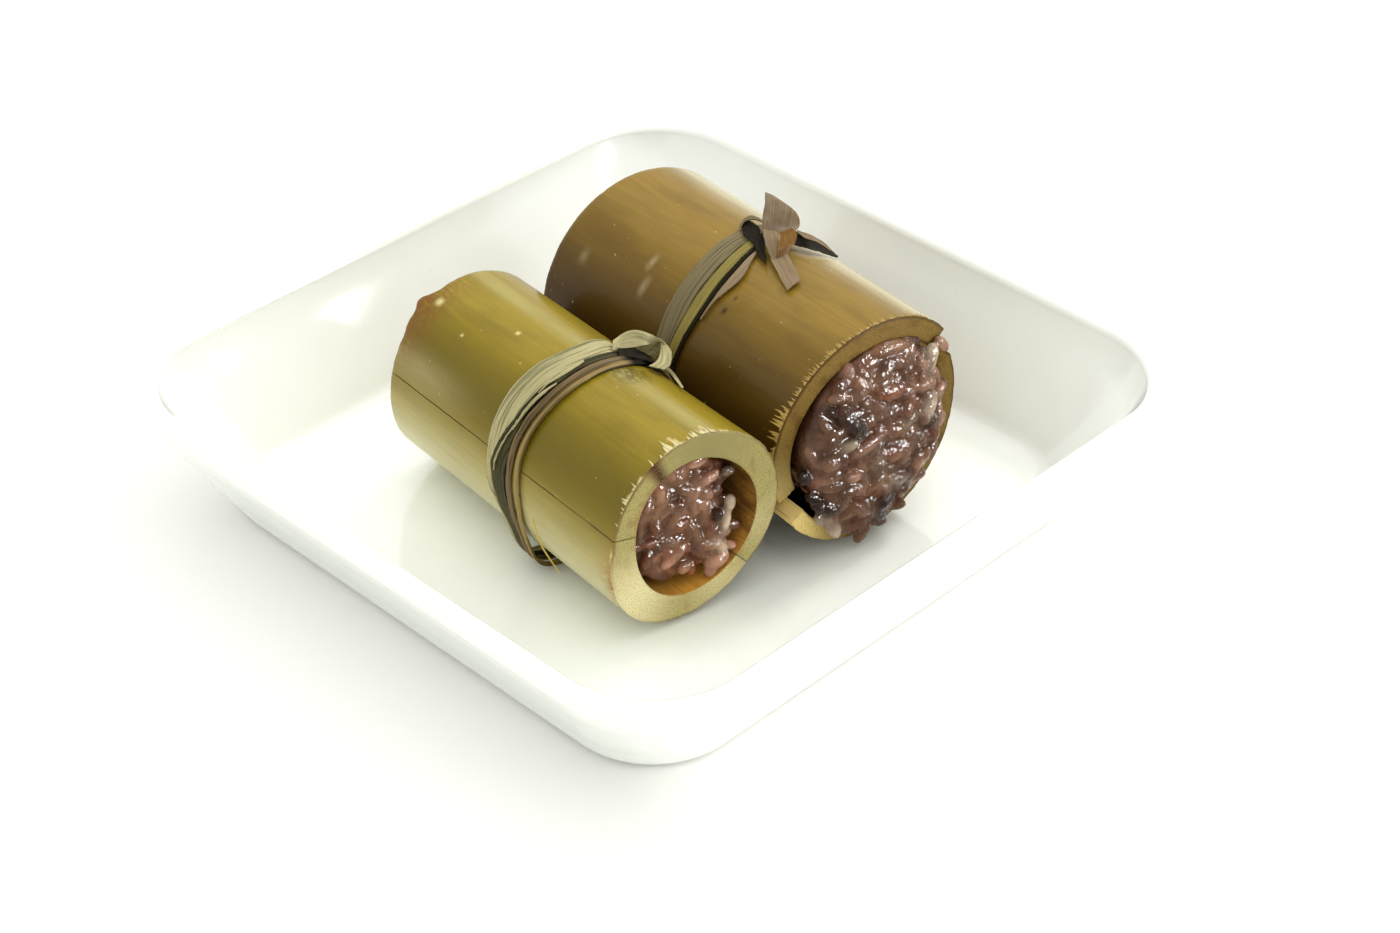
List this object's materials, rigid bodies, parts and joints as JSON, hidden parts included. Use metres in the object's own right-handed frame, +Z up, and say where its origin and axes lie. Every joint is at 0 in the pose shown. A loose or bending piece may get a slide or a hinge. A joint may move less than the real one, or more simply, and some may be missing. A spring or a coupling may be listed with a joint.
{
  "type": "bamboo tube rice",
  "caption": "Purple sticky rice steamed in split bamboo culms, tied shut with leaf strips and laid side by side on a square white dish.",
  "frame": {"origin": "middle of the dish, on the surface it stands on", "axes": "+Z up; the culms lie roughly along X with their open mouths towards +X; the olive culm is on the -Y side"},
  "size_m": [0.1956, 0.1956, 0.0713],
  "materials": {
    "porcelain": "glossy white glaze",
    "olive_bamboo": "waxy olive bark, pale cut rim",
    "brown_bamboo": "waxy brown bark, brown cut rim",
    "pale_leaf": "dry fibrous leaf",
    "dark_leaf": "dark wet leaf edge",
    "mauve_leaf": "dull leaf strip",
    "tan_leaf": "dull leaf strip",
    "grey_leaf": "grey olive leaf strip",
    "yellow_leaf": "olive yellow leaf strip",
    "brown_leaf": "brown leaf, half matt",
    "purple_rice": "sticky, glossy cooked grains"
  },
  "bodies": {
    "root": {"dish": "porcelain", "front_upper_half": "olive_bamboo", "front_lower_half": "olive_bamboo", "front_leaf": "pale_leaf", "front_dark_strip": "dark_leaf", "front_mauve_strip": "mauve_leaf", "front_tan_strip": "tan_leaf", "front_rice": "purple_rice", "back_upper_half": "brown_bamboo", "back_lower_half": "brown_bamboo", "back_grey_strip": "grey_leaf", "back_yellow_strip": "yellow_leaf", "back_dark_strip": "dark_leaf", "back_leaf_sliver": "brown_leaf", "back_knot": "brown_leaf", "back_rice": "purple_rice"}
  },
  "joints": []
}
